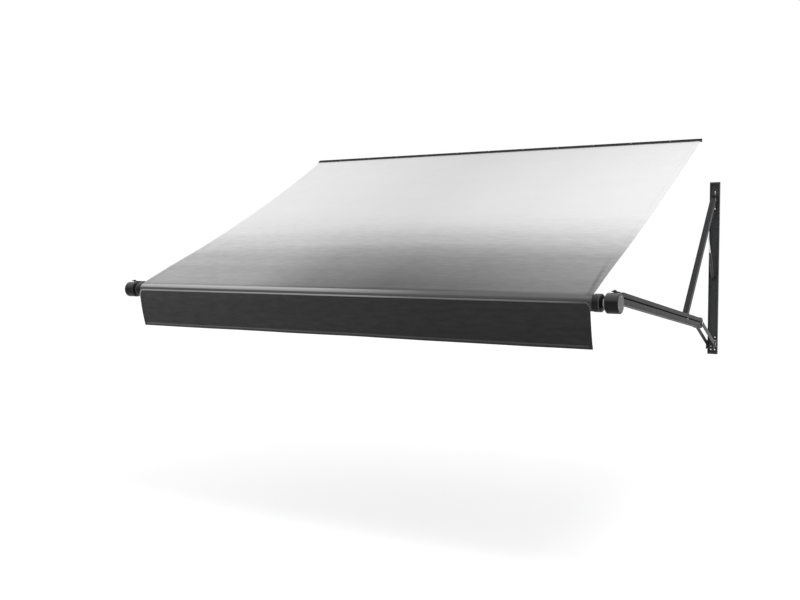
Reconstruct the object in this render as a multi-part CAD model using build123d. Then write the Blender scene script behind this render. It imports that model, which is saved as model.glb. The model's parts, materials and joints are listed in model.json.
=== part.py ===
from build123d import *
import os
from math import atan2, cos, degrees, hypot, radians, sin

# A roll out awning for a caravan wall, drawn fully open.
# Millimetres. X runs along the roller, +Y points into the wall, +Z is up.
# The origin is on the wall face, at the middle of the rail's keyhole line.

# Cloth sheet
fabric_width = 3452.0
projection = 2216.0
drop = 1046.0
sheet_thickness = 1.4
sheet_sag = 14.0
soft_gap = 0.3

# Wall rail
rail_thickness = 2.0
rail_standoff = 7.5
rail_tube_radius = 6.5
rail_bore_radius = 4.3
rail_slot = 2.8
rail_flange_top = 18.0
rail_flange_foot = 6.5
rail_hole_rise = 12.5
rail_hole_radius = 2.4
rail_hole_margin = 237.0
rail_hole_count = 11
rail_bead_radius = 3.6
rail_stop_length = 9.0
rail_stop_gap = 2.0
rail_stop_radius = 4.2

# Roller, its wound cloth and its end caps
tube_radius = 41.25
tube_wall = 1.6
wrap_radius = 49.5
cap_gap = 4.0
cap_barrel = 40.0
cap_collar = 8.0
cap_radius = 51.5
cap_collar_radius = 47.0
cap_bevel = 3.0
cap_groove = 3.0
cap_groove_depth = 1.6
cap_lip = 3.0
cap_end_wall = 14.0
hub_radius = 26.0
hub_length = 20.0
hub_gap = 1.5
shaft_radius = 9.0
shaft_running_gap = 0.1
bearing_radius = 17.0
bearing_width = 12.0

# Valance
valance_inset = 4.0
valance_height = 262.0
valance_swing = 52.0
valance_bow = 7.0
valance_thickness = 1.6
valance_hem_height = 22.0
valance_hem_thickness = 3.4
bead_radius = 3.6
bead_rise = 3.2

# Arm plane and the widths that nest in it, from its centre plane outwards
upper_arm_width = 36.0
arm_wall = 2.5
nest_gap = 2.5
link_gap = 1.0
link_thickness = 4.0
cheek_gap = 0.6
cheek_thickness = 3.0
channel_gap = 0.4
channel_wall = 3.0

# Linkage seen from the side
arm_slope = 8.25
arm_rise = 36.5
upper_pivot_drop = 438.4
pivot_spacing = 1050.6
pivot_standoff = 60.0
stowed_sheet = 147.0

# Main arm
arm_depth = 66.0
arm_end_gap = 66.0
arm_groove = 8.0
arm_groove_depth = 1.4
arm_groove_rise = 3.5
knuckle_radius = 36.0
knuckle_inset = 46.0
knuckle_plug = 70.0
knuckle_top_gap = 4.0

# Upper arm, pins and bushes
upper_arm_depth = 32.0
pin_radius = 6.0
pin_running_gap = 0.05
pin_end_gap = 0.3
pin_head_radius = 9.0
pin_head = 1.6
bush_radius = 8.0
bush_flange_radius = 11.0
side_gap = 0.3

# Lower link
link_half_depth = 17.0
tie_radius = 6.0
tie_side = 35.0
tie_shift = 12.0
tie_lobe_radius = 10.0
rivet_head_radius = 10.0
rivet_head = 0.5

# Wall channels and brackets
channel_depth = 22.0
channel_above = 130.0
channel_below = 76.0
channel_cap_height = 12.0
channel_cap_plate = 2.0
bracket_base = 3.0
bracket_half_height = 76.0
bracket_cheek_half = 40.0
upper_eye_radius = 12.5
lower_eye_radius = 15.0
bracket_cheek_wall = 4.0
upper_hole_half_pitch = 62.0
lower_bracket_half_height = 62.0
lower_cheek_half = 44.0
lower_hole_half_pitch = 46.0
lower_hole_half_width = 14.0
wall_hole_radius = 4.2
rivet_radius = 2.5
bracket_rivet_head_radius = 4.5
bracket_rivet_head = 1.8
upper_rivet_half_pitch = 47.0
lower_rivet_half_pitch = 22.0

# Gas strut
strut_standoff = 35.0
strut_drop = 566.0
strut_arm = 250.0
strut_eye_radius = 7.0
strut_eye_half = 4.6
strut_pin_radius = 3.0
strut_cylinder_radius = 10.0
strut_bore_radius = 8.5
strut_cylinder_start = 12.0
strut_cylinder_length = 190.0
strut_end_wall = 5.0
strut_rod_radius = 4.0
strut_guide_gap = 0.1
piston_length = 10.0
piston_gap = 0.1
piston_margin = 3.0
strut_cheek = 3.0
strut_base = 2.0
strut_base_half_width = 12.0
strut_base_half_height = 20.0
strut_pin_overhang = 1.2
stud_radius = 5.0
stud_flange_radius = 8.0
stud_flange = 1.5

# Head castings at both ends of the roller, the motor's being wider by an extra radius
motor_extra = 4.0
head_half_width = 39.0
head_flange = 6.0
head_radius = 50.0
head_wall = 6.0
head_bevel = 5.0
cover_radius = 54.0
cover_bevel = 3.0
cover_gap = 0.2
cover_end = 5.5
disc_radius = 46.0
disc_gap = 0.3
disc_recess = 2.5
disc_thickness = 3.0
lug_length = 85.0
lug_start = 30.0
cutout_gap = 0.5
clamp_gap = 4.5
clamp_thickness = 5.0
clamp_half_width = 14.0
clamp_front = 14.0
clamp_back = 60.0
bolt_radius = 4.0
bolt_head_radius = 6.5
bolt_head = 4.5
knob_radius = 9.0
knob_height = 6.0
knob_bevel = 1.5
front_bolt_back = 2.0
front_bolt_depth = 12.0
rear_bolt_back = 8.0
rear_bolt_depth = 18.0
screw_radius = 2.0
screw_head_radius = 3.6
screw_head = 1.4
screw_circle = 38.0
screw_depth = 4.0
screw_count = 3

# Gear motor in the right head, spindle in the left head, cable gland
motor_flange_radius = 42.0
motor_flange = 5.0
gearbox_radius = 38.0
gearbox_length = 22.0
motor_radius = 30.0
motor_length = 30.0
shaft_grip = 24.0
spindle_reach = 58.0
spindle_head = 6.0
spindle_head_radius = 16.0
gland_radius = 5.0
gland_flange_radius = 7.5
gland_flange = 3.0
gland_length = 9.0
gland_bore = 2.6
gland_offset = 44.0
gland_angle = -35.0

overrun = 20.0

# Places along X, worked out from the cloth outwards
rail_length = fabric_width + 2 * (rail_stop_gap + rail_stop_length)
valance_width = fabric_width - 2 * valance_inset
cap_start = fabric_width / 2 + cap_gap
hub_end = cap_start + cap_barrel + cap_collar + hub_length
head_start = hub_end + hub_gap
ring_start = head_start + head_flange
arm_x = head_start + head_half_width
head_end = arm_x + head_half_width

# Half widths, worked out from the arm plane outwards
upper_outer = upper_arm_width / 2
upper_inner = upper_outer - arm_wall
arm_inner = upper_outer + nest_gap
arm_outer = arm_inner + arm_wall
link_inner = arm_outer + link_gap
link_outer = link_inner + link_thickness
cheek_inner = link_outer + cheek_gap
cheek_outer = cheek_inner + cheek_thickness
channel_inner = cheek_outer + channel_gap
channel_outer = channel_inner + channel_wall
base_front = -(channel_wall + bracket_base)
upper_cheek_outer = upper_inner - side_gap - pin_head / 2 - side_gap
upper_cheek_inner = upper_cheek_outer - bracket_cheek_wall


def step(point, angle, length):
    """Point of the YZ plane reached from another at an angle above +Y."""
    return (point[0] + length * cos(radians(angle)), point[1] + length * sin(radians(angle)))


def heading(start, end):
    """Angle above +Y of the way from one point of the YZ plane to another."""
    return degrees(atan2(end[1] - start[1], end[0] - start[0]))


def distance(start, end):
    return hypot(end[0] - start[0], end[1] - start[1])


def station(pivot, open_line, stowed_line):
    """How far along the main arm lies the point that is as far from a pivot open as stowed.

    Each line is the point where the arm's axis starts and its angle away from the wall.
    """
    squares, slopes = [], []
    for start, angle in (open_line, stowed_line):
        run, rise = start[0] - pivot[0], start[1] - pivot[1]
        squares.append(run ** 2 + rise ** 2)
        slopes.append(run * cos(radians(angle)) + rise * sin(radians(angle)))
    return (squares[0] - squares[1]) / (2 * (slopes[0] - slopes[1]))


# Side view: the sheet and the roller, open and stowed
keyhole = (-rail_standoff, 0.0)
tangent_open = (-projection, -drop)
sheet_angle = heading(keyhole, tangent_open)
sheet_length = distance(keyhole, tangent_open)
roller_open = step(tangent_open, sheet_angle - 90, -wrap_radius)
tangent_stowed = step(keyhole, sheet_angle, stowed_sheet)
roller_stowed = step(tangent_stowed, sheet_angle - 90, -wrap_radius)

# Side view: pivots on the wall, and the main arm, open and stowed
upper_pivot = (-pivot_standoff, -upper_pivot_drop)
lower_pivot = (-pivot_standoff, -upper_pivot_drop - pivot_spacing)
out_open = 180 - arm_slope
out_stowed = 90
arm_open = step(roller_open, out_open - 90, arm_rise)
arm_stowed = step(roller_stowed, out_stowed - 90, arm_rise)
arm_lines = ((arm_open, out_open), (arm_stowed, out_stowed))
arm_reach = station(upper_pivot, *arm_lines)
tail_length = station(lower_pivot, *arm_lines) - arm_reach
elbow_open = step(arm_open, out_open, -arm_reach)
elbow_stowed = step(arm_stowed, out_stowed, -arm_reach)
tail_open = step(elbow_open, out_open, -tail_length)
tail_stowed = step(elbow_stowed, out_stowed, -tail_length)

# Side view: upper arm, lower link and gas strut
upper_arm_length = distance(upper_pivot, elbow_open)
link_length = distance(lower_pivot, tail_open)
strut_foot = (-strut_standoff, upper_pivot[1] - strut_drop)
strut_head_open = step(upper_pivot, heading(upper_pivot, elbow_open), strut_arm)
strut_head_stowed = step(upper_pivot, heading(upper_pivot, elbow_stowed), strut_arm)
strut_open = distance(strut_foot, strut_head_open)


def placed(part, point, angle, x=0.0):
    """Put a part drawn along local +Y at a point of the side view, at an angle."""
    a = radians(angle)
    frame = Plane(origin=(x, point[0], point[1]), x_dir=(1, 0, 0), z_dir=(0, -sin(a), cos(a)))
    return frame.location * part


def prism(profile, x0, x1):
    """Run a profile of the YZ plane from x0 to x1."""
    return Pos(x0, 0, 0) * extrude(Plane.YZ * profile, x1 - x0, dir=(1, 0, 0))


def bar(x0, x1, y0, y1, z0, z1):
    middle = Pos((x0 + x1) / 2, (y0 + y1) / 2, (z0 + z1) / 2)
    return middle * Box(x1 - x0, y1 - y0, z1 - z0)


def disc(radius, x0, x1, y=0.0, z=0.0):
    return prism(Pos(y, z) * Circle(radius), x0, x1)


def turned(points):
    """Turn an outline of (x, radius) points about the X axis."""
    outline = make_face(Polyline([(x, r, 0) for x, r in points], close=True))
    return revolve(outline, Axis.X, 360)


def on_arm(part, side):
    """A part of a side, drawn about the arm's centre plane."""
    return Pos(side * arm_x, 0, 0) * part


def at_roller(part):
    return Pos(0, roller_open[0], roller_open[1]) * part


def at_elbow(part):
    """A part drawn in the main arm's frame: +Y to the wall, elbow at zero."""
    return placed(part, elbow_open, -arm_slope)


# Wall rail and the cloth in it

def awning_rail():
    flange = bar(-rail_length / 2, rail_length / 2, -rail_thickness, 0, -rail_flange_foot, rail_flange_top)
    tube = disc(rail_tube_radius, -rail_length / 2, rail_length / 2, keyhole[0], keyhole[1])
    bore = disc(rail_bore_radius, -rail_length / 2, rail_length / 2, keyhole[0], keyhole[1])
    slot = bar(-rail_length / 2, rail_length / 2, 0, overrun, -rail_slot / 2, rail_slot / 2)
    rail = flange + tube - bore - placed(slot, keyhole, sheet_angle)
    first = rail_hole_margin - rail_length / 2
    pitch = -2 * first / (rail_hole_count - 1)
    for i in range(rail_hole_count):
        hole = Pos(first + i * pitch, 0, rail_hole_rise) * Rot(90, 0, 0)
        rail -= hole * Cylinder(rail_hole_radius, overrun)
    return rail


def rail_stop():
    return disc(rail_stop_radius, rail_length / 2 - rail_stop_length, rail_length / 2, *keyhole)


def canopy_bead():
    return disc(rail_bead_radius, -fabric_width / 2, fabric_width / 2, *keyhole)


def canopy():
    """Sheet from the bead to the roller, a little below its chord.

    The -z side of its frame is the upper face.
    """
    half = sheet_thickness / 2
    far = -(half + soft_gap)
    upper = [(rail_bead_radius, -half), (sheet_length / 2, sheet_sag - half), (sheet_length, far - half)]
    under = [(sheet_length, far + half), (sheet_length / 2, sheet_sag + half), (rail_bead_radius, half)]
    outline = [
        ThreePointArc(*upper),
        Line(upper[-1], under[0]),
        ThreePointArc(*under),
        Line(under[-1], upper[0]),
    ]
    sheet = prism(make_face(outline), -fabric_width / 2, fabric_width / 2)
    return placed(sheet, keyhole, sheet_angle)


# Roller

def roller_tube():
    end = cap_start + cap_barrel + cap_collar - cap_end_wall
    tube = turned([(-end, tube_radius - tube_wall), (-end, tube_radius), (end, tube_radius),
                   (end, tube_radius - tube_wall)])
    return at_roller(tube)


def rolled_fabric():
    half = fabric_width / 2
    wrap = turned([(-half, tube_radius), (-half, wrap_radius), (half, wrap_radius), (half, tube_radius)])
    return at_roller(wrap)


def roller_cap():
    """Barrel cap over the tube's right end, with a groove and a hub."""
    start = cap_start
    barrel = start + cap_barrel
    collar = barrel + cap_collar
    groove = barrel - cap_groove
    plug = collar - cap_end_wall
    outline = [
        (start, tube_radius),
        (start, cap_radius - cap_bevel),
        (start + cap_bevel, cap_radius),
        (groove - cap_groove, cap_radius),
        (groove - cap_groove, cap_radius - cap_groove_depth),
        (groove, cap_radius - cap_groove_depth),
        (groove, cap_radius),
        (barrel, cap_radius),
        (barrel + cap_bevel, cap_collar_radius),
        (collar - cap_lip, cap_collar_radius),
        (collar, hub_radius),
        (hub_end, hub_radius),
        (hub_end, bearing_radius),
        (hub_end - bearing_width, bearing_radius),
        (hub_end - bearing_width, shaft_radius),
        (plug, shaft_radius),
        (plug, tube_radius),
    ]
    return at_roller(turned(outline))


def bearing_ring(bore):
    ring = turned([(hub_end - bearing_width, bore), (hub_end - bearing_width, bearing_radius),
                   (hub_end, bearing_radius), (hub_end, bore)])
    return at_roller(ring)


def drive_shaft():
    """Splined collar in the right cap with the shaft that enters the gear motor."""
    start = cap_start + cap_barrel + cap_collar - cap_end_wall - spindle_head
    end = ring_start + motor_flange + shaft_grip
    outline = [
        (start, 0),
        (start, spindle_head_radius),
        (start + spindle_head, spindle_head_radius),
        (start + spindle_head, shaft_radius),
        (hub_end - bearing_width, shaft_radius),
        (hub_end - bearing_width, bearing_radius),
        (hub_end, bearing_radius),
        (hub_end, shaft_radius),
        (end, shaft_radius),
        (end, 0),
    ]
    return at_roller(turned(outline))


# Valance

def valance_bead():
    y = roller_open[0] - wrap_radius - bead_radius
    return disc(bead_radius, -valance_width / 2, valance_width / 2, y, roller_open[1] + bead_rise)


def valance():
    """Cloth strip from the bead down, drawn in towards the wall, with a hem."""
    top = (roller_open[0] - wrap_radius - bead_radius, roller_open[1] + bead_rise)
    foot = (top[0] + valance_swing, top[1] - valance_height)
    angle = heading(top, foot)
    length = distance(top, foot)
    half = valance_thickness / 2
    front = [(0, -half), (length / 2, -half - valance_bow), (length, -half)]
    back = [(length, half), (length / 2, half - valance_bow), (0, half)]
    outline = [
        ThreePointArc(*front),
        Line(front[-1], back[0]),
        ThreePointArc(*back),
        Line(back[-1], front[0]),
    ]
    strip = prism(make_face(outline), -valance_width / 2, valance_width / 2)
    hem = bar(-valance_width / 2, valance_width / 2, length - valance_hem_height, length,
              -valance_hem_thickness / 2, valance_hem_thickness / 2)
    return placed(strip + hem, top, angle) - valance_bead()


# Wall channels and brackets

def wall_holes(half_pitch, half_width, radius):
    """Bores through channel and bracket base, about the bracket's pivot height."""
    widths = (-half_width, half_width) if half_width else (0,)
    cut = []
    for x in widths:
        for z in (-half_pitch, half_pitch):
            cut.append(Pos(x, 0, z) * Rot(90, 0, 0) * Cylinder(radius, overrun))
    return cut


def upper_cuts():
    return wall_holes(upper_hole_half_pitch, 0, wall_hole_radius) + wall_holes(
        upper_rivet_half_pitch, 0, rivet_radius)


def lower_cuts():
    return wall_holes(lower_hole_half_pitch, lower_hole_half_width, wall_hole_radius) + wall_holes(
        lower_rivet_half_pitch, lower_hole_half_width, rivet_radius)


def wall_channel():
    top = upper_pivot[1] + channel_above
    foot = lower_pivot[1] - channel_below
    body = bar(-channel_outer, channel_outer, -channel_depth, 0, foot, top)
    body -= bar(-channel_inner, channel_inner, -channel_depth - overrun, -channel_wall,
                foot - overrun, top + overrun)
    for cut in upper_cuts():
        body -= Pos(0, 0, upper_pivot[1]) * cut
    for cut in lower_cuts():
        body -= Pos(0, 0, lower_pivot[1]) * cut
    return body


def channel_caps():
    top = upper_pivot[1] + channel_above
    foot = lower_pivot[1] - channel_below
    caps = []
    for end, way in ((top, 1), (foot, -1)):
        inner = sorted((end - way * channel_cap_height, end))
        outer = sorted((end, end + way * channel_cap_plate))
        caps.append(bar(-channel_inner, channel_inner, -channel_depth, -channel_wall, *inner)
                    + bar(-channel_outer, channel_outer, -channel_depth, 0, *outer))
    return caps


def cheek(half_base, eye, x0, x1):
    """Plate from the wall to the eye round a pivot, with its bore."""
    back = pivot_standoff + base_front
    outline = Polygon((0, -eye), (back, -half_base), (back, half_base), (0, eye), align=None)
    plate = prism(outline + Circle(eye), x0, x1)
    return plate - disc(pin_radius, x0, x1)


def wall_bracket(half_height, half_width, half_base, eye, cheek_x0, cheek_x1, cuts):
    """Base plate and two cheeks, drawn about the pivot."""
    back = pivot_standoff + base_front
    base = bar(-half_width, half_width, back, back + bracket_base, -half_height, half_height)
    for cut in cuts:
        base -= Pos(0, back, 0) * cut
    plates = cheek(half_base, eye, cheek_x0, cheek_x1) + cheek(half_base, eye, -cheek_x1, -cheek_x0)
    return base + plates


def upper_wall_bracket():
    bracket = wall_bracket(bracket_half_height, upper_cheek_outer, bracket_cheek_half,
                           upper_eye_radius, upper_cheek_inner, upper_cheek_outer, upper_cuts())
    return Pos(0, *upper_pivot) * bracket


def lower_wall_bracket():
    bracket = wall_bracket(lower_bracket_half_height, cheek_outer, lower_cheek_half,
                           lower_eye_radius, cheek_inner, cheek_outer, lower_cuts())
    return Pos(0, *lower_pivot) * bracket


def rivet():
    """Rivet from the channel's back face to its head on the bracket base."""
    shank = Rot(90, 0, 0) * Cylinder(rivet_radius, -base_front)
    head = Rot(90, 0, 0) * Cylinder(bracket_rivet_head_radius, bracket_rivet_head)
    return Pos(0, base_front / 2, 0) * shank + Pos(0, base_front - bracket_rivet_head / 2, 0) * head


def bracket_rivets():
    rivets = []
    for z in (-upper_rivet_half_pitch, upper_rivet_half_pitch):
        rivets.append(Pos(0, 0, upper_pivot[1] + z) * rivet())
    for z in (-lower_rivet_half_pitch, lower_rivet_half_pitch):
        for x in (-lower_hole_half_width, lower_hole_half_width):
            rivets.append(Pos(x, 0, lower_pivot[1] + z) * rivet())
    return rivets


def upper_pivot_pin():
    end = upper_outer + side_gap + pin_head
    pin = turned([(-end, 0), (-end, pin_head_radius), (-end + pin_head, pin_head_radius),
                  (-end + pin_head, pin_radius), (end - pin_head, pin_radius),
                  (end - pin_head, pin_head_radius), (end, pin_head_radius), (end, 0)])
    return Pos(0, *upper_pivot) * pin


def lower_pivot_pins():
    """A stub in each cheek, so that nothing bars the main arm between them."""
    stubs = []
    for way in (1, -1):
        ends = sorted((way * (link_inner - pin_end_gap), way * cheek_outer))
        stubs.append(Pos(0, *lower_pivot) * disc(pin_radius, *ends))
    return stubs


# Upper arm

def upper_arm():
    """Channel that is open towards the wall, drawn from the elbow to its pivot."""
    profile = Pos(upper_arm_length / 2, 0) * SlotCenterToCenter(upper_arm_length, upper_arm_depth)
    half = upper_arm_depth / 2
    arm = prism(profile, -upper_outer, upper_outer)
    arm -= bar(-upper_inner, upper_inner, -overrun, upper_arm_length + overrun, -half - overrun,
               half - arm_wall)
    for y in (0, upper_arm_length):
        arm -= disc(bush_radius, -upper_outer, upper_outer, y)
    return placed(arm, elbow_open, heading(elbow_open, upper_pivot))


def bush(inner, outer, flange_inner_end, flange_outer_end, y):
    sleeve = disc(bush_radius, inner, outer, y)
    collar = disc(bush_flange_radius, flange_inner_end, flange_outer_end, y)
    return sleeve + collar - disc(pin_radius + pin_running_gap, inner - overrun, outer + overrun, y)


def arm_bushes():
    """Flanged bushes: outside the webs at the elbow, inside them at the wall."""
    flange_end = arm_inner - side_gap
    elbow = bush(upper_inner, flange_end, upper_outer, flange_end, 0)
    cheek_face = upper_cheek_outer + side_gap
    wall = bush(cheek_face, upper_outer, cheek_face, upper_inner, upper_arm_length)
    bushes = [elbow, mirror(elbow, about=Plane.YZ), wall, mirror(wall, about=Plane.YZ)]
    return [placed(b, elbow_open, heading(elbow_open, upper_pivot)) for b in bushes]


def strut_stud():
    """Stud on one web of the upper arm, ending beside the strut's eye."""
    stud = disc(stud_radius, strut_eye_half + side_gap, upper_inner)
    stud += disc(stud_flange_radius, upper_inner - stud_flange, upper_inner)
    return Pos(0, *strut_head_open) * stud


# Main arm

def main_arm():
    """Channel that is open upwards, with a groove along each side."""
    start = -(arm_reach - arm_end_gap)
    end = tail_length - knuckle_inset
    half = arm_depth / 2
    arm = bar(-arm_outer, arm_outer, start, end, -half, half)
    arm -= bar(-arm_inner, arm_inner, start - overrun, end + overrun, -half + arm_wall, half + overrun)
    low = arm_groove_rise - arm_groove / 2
    for way in (1, -1):
        ends = sorted((way * (arm_outer - arm_groove_depth), way * (arm_outer + overrun)))
        arm -= bar(*ends, start - overrun, end + overrun, low, low + arm_groove)
    arm -= disc(pin_radius, -arm_outer, arm_outer)
    return at_elbow(arm)


def arm_knuckle():
    """Plug in the tail of the channel with the rounded eye of the lower pivot."""
    half = arm_depth / 2
    end = tail_length - knuckle_inset
    plug = bar(-arm_inner, arm_inner, end - knuckle_plug, end, -half + arm_wall, half - knuckle_top_gap)
    neck = bar(-arm_outer, arm_outer, end, tail_length, -knuckle_radius, knuckle_radius)
    eye = disc(knuckle_radius, -arm_outer, arm_outer, tail_length)
    return at_elbow(plug + neck + eye - disc(pin_radius, -arm_outer, arm_outer, tail_length))


def arm_pins():
    end = arm_outer + pin_end_gap
    pins = [disc(pin_radius, -end, end), disc(pin_radius, -end, end, tail_length)]
    return [at_elbow(pin) for pin in pins]


# Lower link

def lower_link():
    """Two bars outside the main arm, tied by a tube on their wall side."""
    back = link_half_depth
    stadium = Pos(link_length / 2, 0) * SlotCenterToCenter(link_length, 2 * back)
    lobe = Polygon((-back, 0), (2 * back, 0), (tie_shift + tie_lobe_radius, tie_side),
                   (tie_shift - tie_lobe_radius, tie_side), align=None)
    profile = stadium + lobe + Pos(tie_shift, tie_side) * Circle(tie_lobe_radius)
    link = prism(profile, link_inner, link_outer) + prism(profile, -link_outer, -link_inner)
    link += disc(tie_radius, -link_outer, link_outer, tie_shift, tie_side)
    link -= disc(pin_radius + pin_running_gap, -link_outer, link_outer)
    link -= disc(pin_radius, -link_outer, link_outer, link_length)
    return placed(link, lower_pivot, heading(lower_pivot, tail_open))


def link_rivets():
    """A headed rivet in the far eye of each bar, facing the knuckle's pin."""
    rivets = []
    for way in (1, -1):
        shank = sorted((way * link_inner, way * link_outer))
        head = sorted((way * link_outer, way * (link_outer + rivet_head)))
        rivets.append(disc(pin_radius, *shank, link_length)
                      + disc(rivet_head_radius, *head, link_length))
    return [placed(r, lower_pivot, heading(lower_pivot, tail_open)) for r in rivets]


# Gas strut, drawn along +Y from its foot

def strut_bracket():
    """Foot plate on the channel with two cheeks round the strut's eye."""
    back = strut_standoff - channel_wall
    base = bar(-strut_base_half_width, strut_base_half_width, back - strut_base, back,
               -strut_base_half_height, strut_base_half_height)
    inner = strut_eye_half + side_gap
    outline = Polygon((0, -strut_eye_radius), (back, -strut_base_half_height),
                      (back, strut_base_half_height), (0, strut_eye_radius), align=None)
    outline += Circle(strut_eye_radius)
    for ends in ((inner, inner + strut_cheek), (-inner - strut_cheek, -inner)):
        base += prism(outline, *ends) - disc(strut_pin_radius, *ends)
    return Pos(0, *strut_foot) * base


def strut_pin():
    end = strut_eye_half + side_gap + strut_cheek + strut_pin_overhang
    return Pos(0, *strut_foot) * disc(strut_pin_radius, -end, end)


def along_strut(part):
    return placed(part, strut_foot, heading(strut_foot, strut_head_open))


def gas_cylinder():
    start = strut_cylinder_start
    end = start + strut_cylinder_length
    guide = strut_rod_radius + strut_guide_gap
    tube = turned([(start, 0), (start, strut_cylinder_radius), (end, strut_cylinder_radius),
                   (end, guide), (end - strut_end_wall, guide), (end - strut_end_wall, strut_bore_radius),
                   (start + strut_end_wall, strut_bore_radius), (start + strut_end_wall, 0)])
    eye = disc(strut_eye_radius, -strut_eye_half, strut_eye_half)
    eye += bar(-strut_eye_half, strut_eye_half, 0, start, -strut_rod_radius, strut_rod_radius)
    eye -= disc(strut_pin_radius + pin_running_gap, -strut_eye_half, strut_eye_half)
    return along_strut(eye + Rot(0, 0, 90) * tube)


def gas_rod():
    inner = strut_cylinder_start + strut_cylinder_length - strut_end_wall - piston_margin - piston_length
    piston = strut_bore_radius - piston_gap
    outer = strut_open - strut_eye_radius / 2
    rod = turned([(inner, 0), (inner, piston), (inner + piston_length, piston),
                  (inner + piston_length, strut_rod_radius), (outer, strut_rod_radius), (outer, 0)])
    eye = disc(strut_eye_radius, -strut_eye_half, strut_eye_half, strut_open)
    shape = Rot(0, 0, 90) * rod + eye
    return along_strut(shape - disc(strut_pin_radius, -strut_eye_half, strut_eye_half, strut_open))


# Head castings, covers and what they hold, drawn for the right end

def in_arm_frame(part):
    return Pos(arm_x, 0, 0) * at_elbow(part)


def clamp_seat(extra):
    """Height of the clamp plate's seat above the main arm's axis, clear of the cover."""
    return cover_radius + extra + clamp_gap - arm_rise


def clamp_shanks(extra):
    """Shanks of the two clamp bolts, in the main arm's frame."""
    seat = clamp_seat(extra)
    front = -arm_reach + front_bolt_back
    rear = -arm_reach + arm_end_gap + rear_bolt_back
    return [
        Pos(0, front, seat - front_bolt_depth / 2) * Cylinder(bolt_radius, front_bolt_depth),
        Pos(0, rear, seat - rear_bolt_depth / 2) * Cylinder(bolt_radius, rear_bolt_depth),
    ]


def head_casting(extra=0):
    """Flanged ring round the roller's axis with a lug that plugs into the arm."""
    ring_end = head_end - cover_end - cover_gap
    rim = cover_radius + extra
    outer = head_radius + extra
    ring = at_roller(turned([
        (head_start, 0),
        (head_start, rim - head_bevel),
        (head_start + head_bevel, rim),
        (ring_start, rim),
        (ring_start, outer),
        (ring_end, outer),
        (ring_end, 0),
    ]))
    start = -arm_reach + lug_start
    end = -arm_reach + arm_end_gap + lug_length
    lug = bar(-arm_inner, arm_inner, start, end, -arm_depth / 2 + arm_wall, clamp_seat(extra))
    casting = ring + in_arm_frame(lug)
    casting -= at_roller(disc(outer - head_wall, ring_start, ring_end + overrun))
    casting -= at_roller(disc(shaft_radius + shaft_running_gap, head_start - overrun, ring_start + overrun))
    for shank in clamp_shanks(extra):
        casting -= in_arm_frame(shank)
    return casting


def head_cover(extra=0):
    """Cap over the ring, with a recess for the disc and a cut-out for the lug."""
    outer = cover_radius + extra
    inner = head_radius + extra + cover_gap
    recess = disc_radius + extra + disc_gap
    shell = at_roller(turned([
        (ring_start, inner),
        (ring_start, outer),
        (head_end - cover_bevel, outer),
        (head_end, outer - cover_bevel),
        (head_end, recess),
        (head_end - disc_recess, recess),
        (head_end - disc_recess, 0),
        (head_end - cover_end, 0),
        (head_end - cover_end, inner),
    ]))
    side = arm_inner + cutout_gap
    cutout = bar(-side, side, -arm_reach + lug_start, -arm_reach + arm_end_gap,
                 -arm_depth / 2, clamp_seat(extra) + cutout_gap)
    shell -= in_arm_frame(cutout)
    shell -= in_arm_frame(clamp_shanks(extra)[0])
    for shank in cover_screw_shanks():
        shell -= shank
    return shell


def end_disc(extra=0):
    start = head_end - disc_recess
    plate = at_roller(disc(disc_radius + extra, start, start + disc_thickness))
    for shank in cover_screw_shanks():
        plate -= shank
    return plate


def cover_screw_shanks():
    face = head_end - disc_recess + disc_thickness
    shanks = []
    for i in range(screw_count):
        angle = radians(90 + i * 360 / screw_count)
        y, z = screw_circle * cos(angle), screw_circle * sin(angle)
        shanks.append(at_roller(disc(screw_radius, face - screw_depth, face, y, z)))
    return shanks


def cover_screws():
    face = head_end - disc_recess + disc_thickness
    screws = []
    for i, shank in enumerate(cover_screw_shanks()):
        angle = radians(90 + i * 360 / screw_count)
        y, z = screw_circle * cos(angle), screw_circle * sin(angle)
        screws.append(shank + at_roller(disc(screw_head_radius, face, face + screw_head, y, z)))
    return screws


def arm_clamp(extra=0):
    """Plate along the top of the head and the lug, under a knob and a bolt."""
    seat = clamp_seat(extra)
    start = -arm_reach - clamp_front
    end = -arm_reach + arm_end_gap + clamp_back
    plate = bar(-clamp_half_width, clamp_half_width, start, end, seat, seat + clamp_thickness)
    for shank in clamp_shanks(extra):
        plate -= Pos(0, 0, clamp_thickness) * shank
    return in_arm_frame(plate)


def clamp_knob():
    """Round knob of the front bolt, its foot at zero."""
    knob = Pos(0, 0, knob_height / 2) * Cylinder(knob_radius, knob_height)
    return chamfer(knob.edges().sort_by(Axis.Z)[-1], knob_bevel)


def clamp_bolts(extra=0):
    """Knobbed bolt at the front and hexagon bolt at the rear of the plate."""
    seat = clamp_seat(extra)
    heads = [clamp_knob(), extrude(RegularPolygon(bolt_head_radius, 6), bolt_head)]
    bolts = []
    for shank, head in zip(clamp_shanks(extra), heads):
        y = shank.center().Y
        neck = Pos(0, y, seat + clamp_thickness / 2) * Cylinder(bolt_radius, clamp_thickness)
        bolts.append(in_arm_frame(shank + neck + Pos(0, y, seat + clamp_thickness) * head))
    return bolts


def gear_motor():
    """Motor with its gearbox on the head's inner wall and a blind output bore."""
    flange = ring_start + motor_flange
    gearbox = flange + gearbox_length
    end = gearbox + motor_length
    bore = shaft_radius + shaft_running_gap
    bore_end = flange + shaft_grip + hub_gap
    return at_roller(turned([
        (ring_start, bore),
        (ring_start, motor_flange_radius),
        (flange, motor_flange_radius),
        (flange, gearbox_radius),
        (gearbox, gearbox_radius),
        (gearbox, motor_radius),
        (end, motor_radius),
        (end, 0),
        (bore_end, 0),
        (bore_end, bore),
    ]))


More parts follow.
